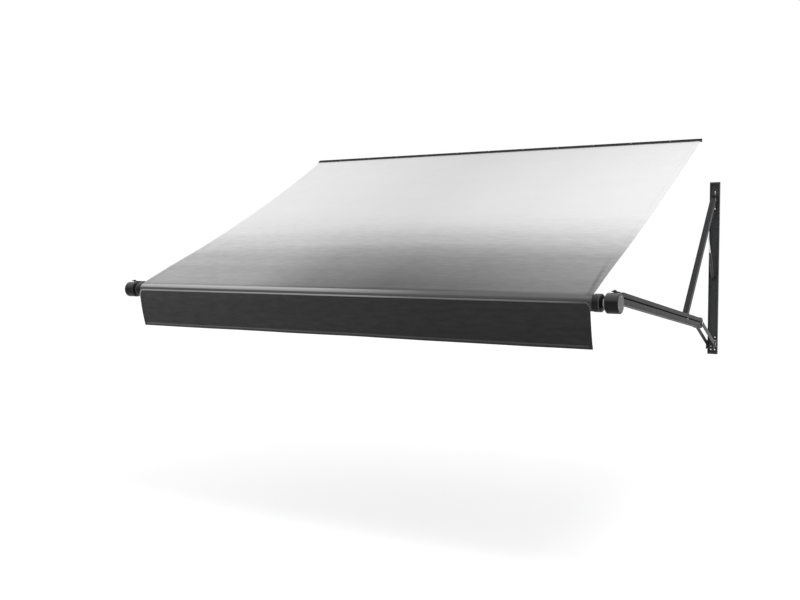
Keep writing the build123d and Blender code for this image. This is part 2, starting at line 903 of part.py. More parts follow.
def idler_spindle():
    """Headed spindle fixed in the left head, drawn for the right."""
    start = head_start - spindle_reach + head_flange
    end = ring_start + spindle_head
    return at_roller(turned([(start, 0), (start, shaft_radius - pin_running_gap), (head_start, shaft_radius
                             - pin_running_gap), (head_start, shaft_radius + shaft_running_gap),
                             (ring_start, shaft_radius + shaft_running_gap),
                             (ring_start, spindle_head_radius), (end, spindle_head_radius), (end, 0)]))


def cable_gland():
    """Inlet for the motor's lead on the inner face of the right head."""
    y = gland_offset * cos(radians(gland_angle))
    z = gland_offset * sin(radians(gland_angle))
    flange = disc(gland_flange_radius, head_start - gland_flange, head_start)
    gland = flange + disc(gland_radius, head_start - gland_length, head_start)
    gland -= disc(gland_bore, head_start - gland_length, head_start)
    return at_roller(Pos(0, y, z) * gland)


def group(parts):
    return Compound(children=list(parts))


def left(part):
    return mirror(part, about=Plane.YZ)


nodes = {}
nodes["awning_rail"] = awning_rail()
nodes["rail_stops"] = group([rail_stop(), left(rail_stop())])
nodes["canopy_bead"] = canopy_bead()
nodes["canopy"] = canopy()
nodes["roller_tube"] = roller_tube()
nodes["rolled_fabric"] = rolled_fabric()
nodes["roller_cap_right"] = roller_cap()
nodes["roller_cap_left"] = left(roller_cap())
nodes["drive_shaft"] = drive_shaft()
nodes["idler_bearing"] = left(bearing_ring(shaft_radius))
nodes["valance_bead"] = valance_bead()
nodes["valance"] = valance()

for side, name in ((1, "right"), (-1, "left")):
    nodes["wall_channel_" + name] = on_arm(wall_channel(), side)
    nodes["upper_wall_bracket_" + name] = on_arm(upper_wall_bracket(), side)
    nodes["lower_wall_bracket_" + name] = on_arm(lower_wall_bracket(), side)
    nodes["upper_arm_" + name] = on_arm(upper_arm(), side)
    nodes["arm_bushes_" + name] = group(on_arm(b, side) for b in arm_bushes())
    nodes["strut_stud_" + name] = on_arm(strut_stud(), side)
    nodes["main_arm_" + name] = on_arm(main_arm(), side)
    nodes["arm_knuckle_" + name] = on_arm(arm_knuckle(), side)
    nodes["arm_pins_" + name] = group(on_arm(p, side) for p in arm_pins())
    nodes["lower_link_" + name] = on_arm(lower_link(), side)
    nodes["link_rivets_" + name] = group(on_arm(r, side) for r in link_rivets())
    nodes["gas_cylinder_" + name] = on_arm(gas_cylinder(), side)
    nodes["gas_rod_" + name] = on_arm(gas_rod(), side)

sides = (1, -1)
nodes["channel_caps"] = group(on_arm(c, s) for s in sides for c in channel_caps())
nodes["bracket_rivets"] = group(on_arm(r, s) for s in sides for r in bracket_rivets())
nodes["upper_pivot_pins"] = group(on_arm(upper_pivot_pin(), s) for s in sides)
nodes["lower_pivot_pins"] = group(on_arm(p, s) for s in sides for p in lower_pivot_pins())
nodes["strut_brackets"] = group(on_arm(strut_bracket(), s) for s in sides)
nodes["strut_pins"] = group(on_arm(strut_pin(), s) for s in sides)

nodes["drive_head"] = head_casting(motor_extra)
nodes["motor_cover"] = head_cover(motor_extra)
nodes["motor_end_disc"] = end_disc(motor_extra)
nodes["gear_motor"] = gear_motor()
nodes["cable_gland"] = cable_gland()
nodes["cover_screws_right"] = group(cover_screws())
nodes["arm_clamp_right"] = arm_clamp(motor_extra)
nodes["clamp_bolts_right"] = group(clamp_bolts(motor_extra))
nodes["idler_head"] = left(head_casting())
nodes["idler_cover"] = left(head_cover())
nodes["idler_end_disc"] = left(end_disc())
nodes["idler_spindle"] = left(idler_spindle())
nodes["cover_screws_left"] = group(left(s) for s in cover_screws())
nodes["arm_clamp_left"] = left(arm_clamp())
nodes["clamp_bolts_left"] = group(left(b) for b in clamp_bolts())

os.makedirs("parts", exist_ok=True)
for node, shape in nodes.items():
    export_step(shape, "parts/" + node + ".step")

# Joint values, for whoever couples the linkage
fold = (heading(upper_pivot, elbow_stowed) - heading(upper_pivot, elbow_open)) % 360
link_turn = (heading(lower_pivot, tail_stowed) - heading(lower_pivot, tail_open)) % 360
arm_turn = out_stowed - out_open - fold
strut_turn = heading(strut_foot, strut_head_stowed) - heading(strut_foot, strut_head_open)
strut_stroke = distance(strut_foot, strut_head_stowed) - strut_open
print("upper pivot", upper_pivot, "elbow", elbow_open, "lower pivot", lower_pivot)
print("tail", tail_open, "roller", roller_open, "stowed roller", roller_stowed)
print("strut foot", strut_foot, "strut head", strut_head_open, "length", strut_open)
print("fold", fold, "arm turn", arm_turn, "link turn", link_turn)
print("strut turn", strut_turn, "strut stroke", strut_stroke)
print("sheet angle", sheet_angle, "length", sheet_length, "upper arm", upper_arm_length)
print("link", link_length, "arm reach", arm_reach)
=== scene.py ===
import bpy
import json
from math import asin, atan2, cos, pi, radians, sin, sqrt
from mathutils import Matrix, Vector, noise


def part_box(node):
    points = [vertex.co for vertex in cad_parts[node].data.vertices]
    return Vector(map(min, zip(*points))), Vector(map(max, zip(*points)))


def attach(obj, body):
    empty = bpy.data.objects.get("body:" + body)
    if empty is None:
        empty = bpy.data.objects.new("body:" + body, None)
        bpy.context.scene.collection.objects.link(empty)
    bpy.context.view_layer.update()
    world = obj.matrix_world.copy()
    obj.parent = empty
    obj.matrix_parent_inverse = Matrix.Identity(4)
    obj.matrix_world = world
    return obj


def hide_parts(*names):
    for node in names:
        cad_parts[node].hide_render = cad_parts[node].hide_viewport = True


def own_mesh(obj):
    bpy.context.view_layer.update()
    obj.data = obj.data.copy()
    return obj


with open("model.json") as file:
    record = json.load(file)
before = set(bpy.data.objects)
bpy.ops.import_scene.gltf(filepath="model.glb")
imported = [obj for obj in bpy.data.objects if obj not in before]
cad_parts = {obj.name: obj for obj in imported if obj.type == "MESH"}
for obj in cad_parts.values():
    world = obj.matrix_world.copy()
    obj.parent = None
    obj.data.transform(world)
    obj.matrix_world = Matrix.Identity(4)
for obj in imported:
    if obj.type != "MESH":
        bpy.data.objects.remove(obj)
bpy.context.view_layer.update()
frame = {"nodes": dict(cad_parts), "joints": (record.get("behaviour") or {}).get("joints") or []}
nodes = frame["nodes"]
joints = {j["name"]: j for j in frame["joints"]}

WALL_BODY = "wall"
ROLLER_BODY = "roller"


# Places and sizes that the frame gives, in metres

def box_middle(name):
    low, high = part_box(name)
    return (low + high) / 2


def box_radius(name):
    """Half the height of a piece that is round about the roller's direction."""
    low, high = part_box(name)
    return (high.z - low.z) / 2


keyhole = box_middle("canopy_bead")
bead = box_middle("valance_bead")
bead_radius = box_radius("valance_bead")
roller = Vector(joints["roller_spin"]["pos_m"])
wrap_radius = box_radius("rolled_fabric")
tube_radius = box_radius("roller_tube")
cap_radius = box_radius("roller_cap_right")
cap_low, cap_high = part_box("roller_cap_right")
cloth_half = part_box("rolled_fabric")[1].x
valance_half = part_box("valance")[1].x
elbow = Vector(joints["main_arm_right_turn"]["pos_m"])


# Sizes of the cloth that only the scene has, in metres, shares of a length and degrees

CLOTH = 0.0011

SHEET_ROWS = 72
SHEET_COLUMNS = 150
SHEET_SAG = 0.014
SHEET_CALM = 8
EDGE_DROOP = 0.0235
EDGE_DROOP_POWER = 4
EDGE_CALM = 0.3
EDGE_BOW = 0.0155
EDGE_BOW_POWER = 3
EDGE_SKEW = 1.25
CROWDING = 0.15

HEM = 0.042
HEM_LIFT = 0.0009
HEM_SHARES = (0.0, 0.025, 0.25, 0.5, 0.75, 0.975, 1.0)
HEM_STITCH_INSETS = {"inner": HEM - 0.003, "outer": HEM - 0.009}
HEM_STITCH_PITCH = 0.0062
HEM_STITCH_RUN = 0.0042
HEM_STITCH_HEIGHT = 0.0004
HEM_STITCH_END = 0.02
STITCH_WIDTH = 0.0009

SPIRAL_TURNS = 3.6
SPIRAL_STEPS = 56
SPIRAL_COLUMNS = 90
SPIRAL_SHIFT = 0.0012
SPIRAL_SHIFT_RATE = 0.37

VALANCE_SWING = 0.052
VALANCE_DROP = 0.262
VALANCE_BOW = 0.007
VALANCE_CORNER = 0.034
VALANCE_COLUMNS = 220
VALANCE_CORNER_ROWS = 7
VALANCE_FIRST_ROW = 0.12
VALANCE_ROW_GAP = 0.03
VALANCE_ROWS = 22
VALANCE_HEM = 0.022
VALANCE_HEM_CLOTH = 0.0009
VALANCE_HEM_STEPS = 6
VALANCE_SIDE_HEM = 0.022
VALANCE_SIDE_ROWS = 26
VALANCE_SIDE_START = 1.25
VALANCE_SIDE_END = 0.0005

VALANCE_STITCH_PITCH = 0.0068
VALANCE_STITCH_RUN = 0.0045
VALANCE_STITCH_HEIGHT = 0.0005
FOOT_STITCH_INSET = 0.003
FOOT_STITCH_MARGIN = 0.004
FOOT_STITCH_OUT = 0.0015
SIDE_STITCH_SHARE = 0.85
SIDE_STITCH_START = 1.4
SIDE_STITCH_OUT = 1.5

CORNER_STEPS = 10
TAIL_STEPS = 4
STRAIGHT_STEPS = 160
PIPING_TAIL = 0.012
TAPE_WIDTH = 0.0045
TAPE_INSET = 0.0015
TAPE_TAIL = 0.016
TAPE_STEPS = 3
TAB_SWEEP = 22.0
TAB_LIFT = 0.0007
TAB_COLUMNS = 160
TAB_STEPS = 10

# Smooth waves of the cloth: waves over a metre across, waves along its length, seed, height

SHEET_RIPPLE = (2.3, 1.1, 4.0, 0.0016)
SHEET_PULL = (9.0, 0.7, 9.0, 0.0005)
VALANCE_SWAY = (1.35, 1.0, 2.0, 0.0105)
VALANCE_SWAY_LEVEL = 0.3
VALANCE_SWAY_POWER = 1.6
VALANCE_RIPPLE = (4.2, 1.0, 7.0, 0.0022)
VALANCE_PINCH = (15.0, 1.5, 5.0, 0.0009)


def cloth_wave(x, share, form):
    across, lengthwise, seed, height = form
    return noise.noise(Vector((x * across, share * lengthwise, seed))) * height


# Points of the sheet between the keyhole and the roller

to_roller = roller - keyhole
to_roller.x = 0
reach = to_roller.length
sheet_length = sqrt(reach ** 2 - wrap_radius ** 2)
tilt = atan2(to_roller.z, to_roller.y) - asin(wrap_radius / reach)
along = Vector((0, cos(tilt), sin(tilt)))
above = Vector((0, sin(tilt), -cos(tilt)))


def sheet_point(x, share):
    """Point of the sheet's middle layer at a share of the way to the roller.

    The sheet sags between its ends, where its waves die out. Its free side edges hang lower
    and bow inwards, most of all before the middle. They rise to the sheet's line again near
    the roller.
    """
    edge = abs(x) / cloth_half
    middle = 4 * share * (1 - share)
    free = middle * (EDGE_SKEW - (EDGE_SKEW - 1) * 2 * share)
    near = min(1, (1 - share) / EDGE_CALM)
    droop = free * near * near * (3 - 2 * near) * EDGE_DROOP * edge ** EDGE_DROOP_POWER
    waves = cloth_wave(x, share, SHEET_RIPPLE) + cloth_wave(x, share, SHEET_PULL)
    calm = min(1, SHEET_CALM * share) * min(1, SHEET_CALM * (1 - share))
    lift = waves * calm - middle * SHEET_SAG - droop - CLOTH * share / 2
    inward = x * free * edge ** EDGE_BOW_POWER * EDGE_BOW / cloth_half
    return keyhole + along * (sheet_length * share) + above * lift + Vector((x - inward, 0, 0))


def hem_point(x, share):
    return sheet_point(x, share) + above * HEM_LIFT


# Points of the valance from its bead down

hang_foot = Vector((0, VALANCE_SWING, -VALANCE_DROP))
valance_length = hang_foot.length
down = hang_foot.normalized()
outward = Vector((0, down.z, -down.y))


def valance_point(x, share, out=0.0):
    """Point of the valance, with the shallow waves of cloth that hangs by its top."""
    bow = 4 * share * (1 - share) * VALANCE_BOW
    sway = cloth_wave(x, VALANCE_SWAY_LEVEL, VALANCE_SWAY) * share ** VALANCE_SWAY_POWER
    ripple = cloth_wave(x, share, VALANCE_RIPPLE) * share
    pinch = cloth_wave(x, share, VALANCE_PINCH) * (1 - share)
    place = bead + Vector((x, 0, 0)) + down * (valance_length * share)
    return place + outward * (bow + sway + ripple + pinch + out)


# Mesh helpers

def new_object(name, verts, faces, material, smooth=True):
    mesh = bpy.data.meshes.new(name)
    mesh.from_pydata([tuple(v) for v in verts], [], faces)
    mesh.validate()
    mesh.update()
    for polygon in mesh.polygons:
        polygon.use_smooth = smooth
    obj = bpy.data.objects.new(name, mesh)
    bpy.context.scene.collection.objects.link(obj)
    obj.data.materials.append(material)
    return obj


def write_cloth_place(obj, places):
    """Keep each vertex's place on the flat cloth, in metres, for the weave and the fade."""
    attribute = obj.data.attributes.new("cloth", "FLOAT_VECTOR", "POINT")
    for i, place in enumerate(places):
        attribute.data[i].vector = (place[0], place[1], 0.0)


def steps(first, last, count):
    """Values from first to last at even steps, both included."""
    return [first + (last - first) * i / count for i in range(count + 1)]


def columns(count, half):
    """Places across a cloth, closer together near its edges."""
    return [half * sin(pi * (s - 0.5)) * CROWDING + half * (2 * s - 1) * (1 - CROWDING)
            for s in steps(0, 1, count)]


def cloth_grid(point_at, xs, shares, length):
    """Points of a cloth row by row, and their places on the flat cloth."""
    points = [[point_at(x, share) for x in xs] for share in shares]
    places = [[(x, share * length) for x in xs] for share in shares]
    return points, places


def grid_normals(points):
    rows, cols = len(points), len(points[0])
    normals = []
    for i in range(rows):
        row = []
        for j in range(cols):
            a = points[min(i + 1, rows - 1)][j] - points[max(i - 1, 0)][j]
            b = points[i][min(j + 1, cols - 1)] - points[i][max(j - 1, 0)]
            row.append(b.cross(a).normalized())
        normals.append(row)
    return normals


def cloth_solid(name, points, places, thickness, material):
    """Closed thin solid about a grid of points, with its flat places kept."""
    rows, cols = len(points), len(points[0])
    normals = grid_normals(points)
    verts, flat = [], []
    for way in (0.5, -0.5):
        for i in range(rows):
            for j in range(cols):
                verts.append(points[i][j] + normals[i][j] * (thickness * way))
                flat.append(places[i][j])
    count = rows * cols
    faces = []
    for i in range(rows - 1):
        for j in range(cols - 1):
            a, b = i * cols + j, i * cols + j + 1
            c, d = a + cols, b + cols
            faces.append((a, b, d, c))
            faces.append((a + count, c + count, d + count, b + count))
    rim = list(range(cols))
    rim += [i * cols + cols - 1 for i in range(1, rows)]
    rim += [(rows - 1) * cols + j for j in range(cols - 2, -1, -1)]
    rim += [i * cols for i in range(rows - 2, 0, -1)]
    for k, a in enumerate(rim):
        b = rim[(k + 1) % len(rim)]
        faces.append((b, a, a + count, b + count))
    obj = new_object(name, verts, faces, material)
    write_cloth_place(obj, flat)
    return obj


TUBE_SIDES = 12
TUBE_UP = Vector((0, 0.3, 1))
TUBE_END_REACH = 0.5
TUBE_END_RADIUS = 0.7


def tube_along(name, path, radius, material):
    """Closed tube along a path of points, its ends rounded off by a smaller ring."""
    last = len(path) - 1
    rings = []
    for k, point in enumerate(path):
        ahead = (path[min(k + 1, last)] - path[max(k - 1, 0)]).normalized()
        side = ahead.cross(TUBE_UP).normalized()
        rise = side.cross(ahead).normalized()
        rings.append((point, side, rise, radius))

    def end_ring(ring, outwards):
        point, side, rise, _ = ring
        end = point + outwards.normalized() * radius * TUBE_END_REACH
        return end, side, rise, radius * TUBE_END_RADIUS

    start = end_ring(rings[0], path[0] - path[1])
    finish = end_ring(rings[-1], path[-1] - path[-2])
    rings = [start] + rings + [finish]
    verts, faces = [], []
    for point, side, rise, size in rings:
        for s in range(TUBE_SIDES):
            turn = 2 * pi * s / TUBE_SIDES
            verts.append(point + side * (size * cos(turn)) + rise * (size * sin(turn)))
    for k in range(len(rings) - 1):
        for s in range(TUBE_SIDES):
            a, b = k * TUBE_SIDES + s, k * TUBE_SIDES + (s + 1) % TUBE_SIDES
            faces.append((a, a + TUBE_SIDES, b + TUBE_SIDES, b))
    faces.append(tuple(range(TUBE_SIDES)))
    faces.append(tuple(range(len(verts) - 1, len(verts) - 1 - TUBE_SIDES, -1)))
    return new_object(name, verts, faces, material)


# A stitch's sections: share of its run, share of its full width and height
STITCH_FORM = ((-0.5, 0.35), (-0.25, 1.0), (0.25, 1.0), (0.5, 0.35))
STITCH_SINK = 0.4
STITCH_SIDES = 4
STITCH_CORNERS = STITCH_SIDES * len(STITCH_FORM)


def stitch_row(name, places, height, material):
    """Short rounded stitches: each place is (middle, along vector, up vector)."""
    verts, faces = [], []
    for middle, run, up in places:
        across = run.cross(up).normalized() * (STITCH_WIDTH / 2)
        first = len(verts)
        for share, swell in STITCH_FORM:
            centre = middle + run * share
            verts += [centre - across * swell, centre + up * (height * swell),
                      centre + across * swell, centre - up * (height * STITCH_SINK)]
        end = first + STITCH_CORNERS - STITCH_SIDES
        for section in range(first, end, STITCH_SIDES):
            for s in range(STITCH_SIDES):
                a, b = section + s, section + (s + 1) % STITCH_SIDES
                faces.append((a, b, b + STITCH_SIDES, a + STITCH_SIDES))
        faces.append((first + 3, first + 2, first + 1, first))
        faces.append((end, end + 1, end + 2, end + 3))
    return new_object(name, verts, faces, material)


# Material helpers

# A noise is its scale over a metre, its detail and its roughness. GRAIN leaves out the scale.

CLOUD = (7.0, 4.0, 0.6)
SMEAR = (22.0, 5.0, 0.6)
SMEAR_DEPTH = 0.22
GRAIN = (2.0, 0.6)
GRAIN_STRENGTH = 0.5

BEVEL_SAMPLES = 4
WORN_EDGE = 0.0012
WORN_FACING = 0.985
WORN_GAIN = 7.0
WORN_PATCHES = (45.0, 5.0, 0.65)
WORN_SPAN = (0.42, 0.62)
WORN_LIGHTER = 2.4
WORN_LIFT = 0.02

# Painted highlight on faces that look up: a paler grey laid over the top of a part, in soft
# patches.
TOP_HIGHLIGHT_COLOUR = (0.24, 0.24, 0.235)
TOP_HIGHLIGHT_BY_SLOPE = ((0.15, 0.0), (0.4, 0.34), (0.7, 0.58), (0.9, 1.0))
TOP_HIGHLIGHT_PATCHES = (30.0, 5.0, 0.65)
TOP_HIGHLIGHT_PATCH_TONES = ((0.3, 0.75), (0.7, 1.0))


class Nodes:
    """A node tree with short calls for the nodes used here."""

    def __init__(self, tree):
        self.tree = tree

    def add(self, kind, **settings):
        node = self.tree.nodes.new(kind)
        for key, value in settings.items():
            setattr(node, key, value)
        return node

    def link(self, out, into):
        self.tree.links.new(out, into)

    def math(self, operation, a, b=0.0, clamp=False):
        node = self.add("ShaderNodeMath", operation=operation, use_clamp=clamp)
        for socket, value in zip(node.inputs, (a, b)):
            if isinstance(value, (int, float)):
                socket.default_value = value
            else:
                self.link(value, socket)
        return node.outputs[0]

    def seen_directly(self):
        """1 for what is seen, also in a mirror or through glass, and 0 for what only lights."""
        path = self.add("ShaderNodeLightPath")
        seen = self.math("MAXIMUM", path.outputs["Is Camera Ray"], path.outputs["Is Glossy Ray"])
        return self.math("MAXIMUM", seen, path.outputs["Is Transmission Ray"])


class Surface(Nodes):
    """A new material's node tree."""

    def __init__(self, name):
        self.material = bpy.data.materials.new(name)
        self.material.use_nodes = True
        super().__init__(self.material.node_tree)
        self.shader = self.tree.nodes["Principled BSDF"]

    def set(self, **values):
        for key, value in values.items():
            self.shader.inputs[key.replace("_", " ")].default_value = value

    def place(self, kind="object"):
        """Where on the surface a point is: in the row frame, or on the flat cloth."""
        if kind == "cloth":
            return self.add("ShaderNodeAttribute", attribute_name="cloth").outputs["Vector"]
        return self.add("ShaderNodeTexCoord").outputs["Object"]

    def scaled(self, vector, scale):
        node = self.add("ShaderNodeMapping")
        self.link(vector, node.inputs["Vector"])
        node.inputs["Scale"].default_value = scale
        return node.outputs[0]

    def split(self, vector):
        node = self.add("ShaderNodeSeparateXYZ")
        self.link(vector, node.inputs[0])
        return node.outputs

    def dot(self, a, b):
        node = self.add("ShaderNodeVectorMath", operation="DOT_PRODUCT")
        for socket, value in zip(node.inputs, (a, b)):
            if isinstance(value, tuple):
                socket.default_value = value
            else:
                self.link(value, socket)
        return node.outputs["Value"]

    def true_normal(self):
        return self.add("ShaderNodeNewGeometry").outputs["True Normal"]

    def noise(self, vector, scale, detail, rough):
        node = self.add("ShaderNodeTexNoise")
        self.link(vector, node.inputs["Vector"])
        node.inputs["Scale"].default_value = scale
        node.inputs["Detail"].default_value = detail
        node.inputs["Roughness"].default_value = rough
        return node.outputs["Fac"]

    def ramp(self, fac, stops):
        node = self.add("ShaderNodeValToRGB")
        self.link(fac, node.inputs["Fac"])
        elements = node.color_ramp.elements
        for i, (at, colour) in enumerate(stops):
            element = elements[i] if i < 2 else elements.new(at)
            element.position = at
            rgb = colour if isinstance(colour, tuple) else (colour,) * 3
            element.color = (*rgb, 1.0)
        return node.outputs["Color"]

    def mix(self, blend, fac, a, b):
        node = self.add("ShaderNodeMix", data_type="RGBA", blend_type=blend)
        for socket, value in zip((node.inputs[0], node.inputs[6], node.inputs[7]), (fac, a, b)):
            if isinstance(value, (int, float)):
                socket.default_value = value
            elif isinstance(value, tuple):
                socket.default_value = (*value, 1.0)
            else:
                self.link(value, socket)
        return node.outputs[2]

    def bump(self, height, strength, distance, normal=None):
        node = self.add("ShaderNodeBump")
        node.inputs["Strength"].default_value = strength
        node.inputs["Distance"].default_value = distance
        self.link(height, node.inputs["Height"])
        if normal is not None:
            self.link(normal, node.inputs["Normal"])
        return node.outputs[0]

    def smeared(self, place, rough, form=SMEAR, depth=SMEAR_DEPTH):
        """Roughness that wanders about its mean, as on a handled surface."""
        wander = self.math("MULTIPLY", self.noise(place, *form), depth)
        return self.math("ADD", wander, rough - depth / 2)

    def edge_mask(self, place, amount):
        """Where a rounded normal leaves the flat one, broken up as rubbed edges are."""
        rounded = self.add("ShaderNodeBevel", samples=BEVEL_SAMPLES)
        rounded.inputs["Radius"].default_value = WORN_EDGE
        facing = self.dot(rounded.outputs[0], self.true_normal())
        turned = self.math("SUBTRACT", WORN_FACING, facing, True)
        edge = self.math("MULTIPLY", turned, WORN_GAIN, True)
        low, high = WORN_SPAN
        patchy = self.ramp(self.noise(place, *WORN_PATCHES), ((low, 0.0), (high, amount)))
        return self.math("MULTIPLY", edge, patchy, True)

    def top_highlight_mask(self, place, amount):
        """Painted highlight, more on a face the more it looks up, in soft patches."""
        by_slope = tuple((at, share * amount) for at, share in TOP_HIGHLIGHT_BY_SLOPE)
        facing_up = self.ramp(self.split(self.true_normal())["Z"], by_slope)
        patchy = self.ramp(self.noise(place, *TOP_HIGHLIGHT_PATCHES), TOP_HIGHLIGHT_PATCH_TONES)
        return self.math("MULTIPLY", facing_up, patchy)

    def finish(self, colour, rough=None, normal=None):
        for out, name in ((colour, "Base Color"), (rough, "Roughness"), (normal, "Normal")):
            if out is not None:
                self.link(out, self.shader.inputs[name])
        return self.material


def hard_material(name, colour, metallic=0.0, rough=0.4, grain=900.0, grain_depth=0.00004,
                  blotch=0.12, wear=0.0, brushed=None, gloss=0.5, top_highlight=0.0):
    """Painted, moulded or turned surface: fine grain, uneven gloss, worn edges, a painted
    highlight on top.
    """
    n = Surface(name)
    n.set(Metallic=metallic, Specular_IOR_Level=gloss)
    place = n.place()
    fine = n.noise(n.scaled(place, brushed) if brushed else place, grain, *GRAIN)
    dark = tuple(c * (1 - blotch) for c in colour)
    pale = tuple(min(1.0, c * (1 + blotch)) for c in colour)
    tone = n.mix("MIX", n.noise(place, *CLOUD), dark, pale)
    if wear:
        rubbed = tuple(c * WORN_LIGHTER + WORN_LIFT for c in colour)
        tone = n.mix("MIX", n.edge_mask(place, wear), tone, rubbed)
    # Painted highlight on the upper faces.
    if top_highlight:
        tone = n.mix("MIX", n.top_highlight_mask(place, top_highlight), tone, TOP_HIGHLIGHT_COLOUR)
    return n.finish(tone, n.smeared(place, rough), n.bump(fine, GRAIN_STRENGTH, grain_depth))


# Cloth materials

BANDS_TO_METRE = 0.314
THREAD_WOBBLE = 0.4
WEAVE_STRENGTH = 0.35
WEAVE_DEPTH = 0.00012

# Streaks across the cloth: scales along its X and Y, then the noise's detail and roughness
FINE_STREAKS = ((9.0, 42.0, 1.0), 4.0, 0.65)
BROAD_STREAKS = ((0.5, 9.0, 1.0), 3.0, 0.55)
FINE_SHARE = 0.65
STREAK_SPAN = (0.28, 0.72)
STREAK_STRENGTH = 0.18
STREAK_DEPTH = 0.0006

SOIL = (3.2, 6.0, 0.6)
SOIL_TONES = ((0.3, 0.955), (0.7, 1.0))
SOIL_SHARE = 0.5
CLOTH_SMEAR = (14.0, 4.0, 0.5)
CLOTH_SMEAR_DEPTH = 0.2

# Painted shade of a soft fold beside the side hems near the roller, deeper on the right
CORNER_FOLD_SHADE = ((0.0, 1.0), (0.1, 1.0), (0.24, 0.55), (0.36, 0.55), (0.52, 1.0))
CORNER_FOLD_SHADE_DEPTH = ((0.72, 0.0), (0.79, 0.12), (0.87, 0.5), (0.94, 0.85), (1.0, 0.45))
CORNER_FOLD_SHADE_SIDES = ((0.3, 0.15), (0.7, 1.0))
CORNER_FOLD_SHADE_DRIFT = 0.17


def weave_height(n, place, pitch):
    """Crossed threads at a real pitch."""
    threads = []
    for direction in ("X", "Y"):
        wave = n.add("ShaderNodeTexWave", wave_type="BANDS", bands_direction=direction)
        n.link(place, wave.inputs["Vector"])
        wave.inputs["Scale"].default_value = BANDS_TO_METRE / pitch
        wave.inputs["Distortion"].default_value = THREAD_WOBBLE
        wave.inputs["Detail"].default_value = 1.0
        threads.append(wave.outputs["Fac"])
    return n.math("MAXIMUM", *threads)


def cloth_material(name, fade, length, sides, streak=0.07, rough=0.62, pitch=0.0012, sheen=0.1,
                   gloss=0.35, slub=None, corner_fold_shade=False):
    """Coated awning cloth, whose colour fades along its length, with painted light and shade from
    side to side.

    sides holds the painted light and shade from left to right at the cloth's start and at its
    end, and how the first gives way to the second along the length.
    """
    n = Surface(name)
    n.set(Sheen_Weight=sheen, Specular_IOR_Level=gloss)
    place = n.place("cloth")
    parts = n.split(place)
    share = n.math("DIVIDE", parts["Y"], length, True)
    span = n.math("ADD", n.math("DIVIDE", parts["X"], 2 * cloth_half), 0.5, True)
    # Painted light and shade from side to side.
    high, low, change = sides
    side_light = n.mix("MIX", n.ramp(share, change), n.ramp(span, high), n.ramp(span, low))
    tone = n.mix("MULTIPLY", 1.0, n.ramp(share, fade), side_light)
    # Painted shade of a fold beside the side hems near the roller.
    if corner_fold_shade:
        inset = n.math("SUBTRACT", cloth_half, n.math("ABSOLUTE", parts["X"]))
        drift = n.math("MULTIPLY", n.math("SUBTRACT", 1.0, share), CORNER_FOLD_SHADE_DRIFT)
        spot = n.math("DIVIDE", n.math("SUBTRACT", inset, drift), 2 * HEM, True)
        depth = n.math("MULTIPLY", n.ramp(share, CORNER_FOLD_SHADE_DEPTH),
                       n.ramp(span, CORNER_FOLD_SHADE_SIDES))
        tone = n.mix("MULTIPLY", depth, tone, n.ramp(spot, CORNER_FOLD_SHADE))
    fine, broad = (n.noise(n.scaled(place, scales), 1.0, detail, grain)
                   for scales, detail, grain in (FINE_STREAKS, BROAD_STREAKS))
    streaks = n.math("ADD", n.math("MULTIPLY", fine, FINE_SHARE),
                     n.math("MULTIPLY", broad, 1 - FINE_SHARE))
    faint, full = STREAK_SPAN
    lines = n.ramp(streaks, ((faint, 1 - streak), (full, 1.0)))
    tone = n.mix("MULTIPLY", n.ramp(share, slub) if slub else 1.0, tone, lines)
    tone = n.mix("MULTIPLY", SOIL_SHARE, tone, n.ramp(n.noise(place, *SOIL), SOIL_TONES))
    dull = n.smeared(place, rough, CLOTH_SMEAR, CLOTH_SMEAR_DEPTH)
    normal = n.bump(fine, STREAK_STRENGTH, STREAK_DEPTH)
    normal = n.bump(weave_height(n, place, pitch), WEAVE_STRENGTH, WEAVE_DEPTH, normal)
    return n.finish(tone, dull, normal)


def grey(code):
    """Linear value of an sRGB grey given as it looks on a screen, 0 to 255."""
    v = code / 255
    return v / 12.92 if v <= 0.04045 else ((v + 0.055) / 1.055) ** 2.4


def greys(*stops):
    """Ramp stops from places and screen greys."""
    return tuple((at, grey(code)) for at, code in stops)


def same_side_light(*tints):
    """The same painted light and shade from left to right all along a cloth."""
    return tints, tints, ((0.0, 0.0), (1.0, 1.0))


SHEET_FADE = greys((0.0, 235), (0.2, 239), (0.4, 240), (0.6, 238), (0.7, 225), (0.8, 199),
                   (0.9, 188), (1.0, 177))
# Painted light and shade across the sheet: lighter at the left, darkest right of the middle, most
# of all near the roller.
SHEET_SIDE_LIGHT = (
    ((0.0, 1.0), (0.15, 0.93), (0.38, 0.8), (0.5, 0.77), (0.75, 0.84), (1.0, 0.95)),
    ((0.0, 1.0), (0.27, 0.79), (0.42, 0.39), (0.6, 0.2), (0.75, 0.245), (1.0, 0.5)),
    ((0.55, 0.0), (0.7, 0.3), (0.8, 0.64), (0.9, 0.84), (0.97, 1.0)))
SHEET_SLUB = ((0.5, 0.15), (0.72, 1.0))
# Painted highlight and shade over the first tenth of a metre of the wound cloth's outer turn: a
# highlight just past its top, darker down its front towards the bead.
ROLL_HIGHLIGHT_AND_SHADE_LENGTH = 0.1
ROLL_HIGHLIGHT_AND_SHADE = greys((0.0, 176), (0.13, 190), (0.26, 164), (0.36, 132), (0.45, 104), (0.55, 88),
                  (0.9, 80))
# Painted highlight across the wound cloth, strongest at the left and fading towards the right.
ROLL_SIDE_LIGHT = (
    ((0.25, 1.0), (0.46, 0.8), (0.7, 0.19), (0.85, 0.165), (1.0, 0.22)),
    ((0.25, 1.0), (0.46, 0.85), (0.72, 0.44), (1.0, 0.44)),
    ((0.1, 0.0), (0.5, 1.0)))
VALANCE_FADE = greys((0.0, 66), (0.3, 61), (1.0, 58))
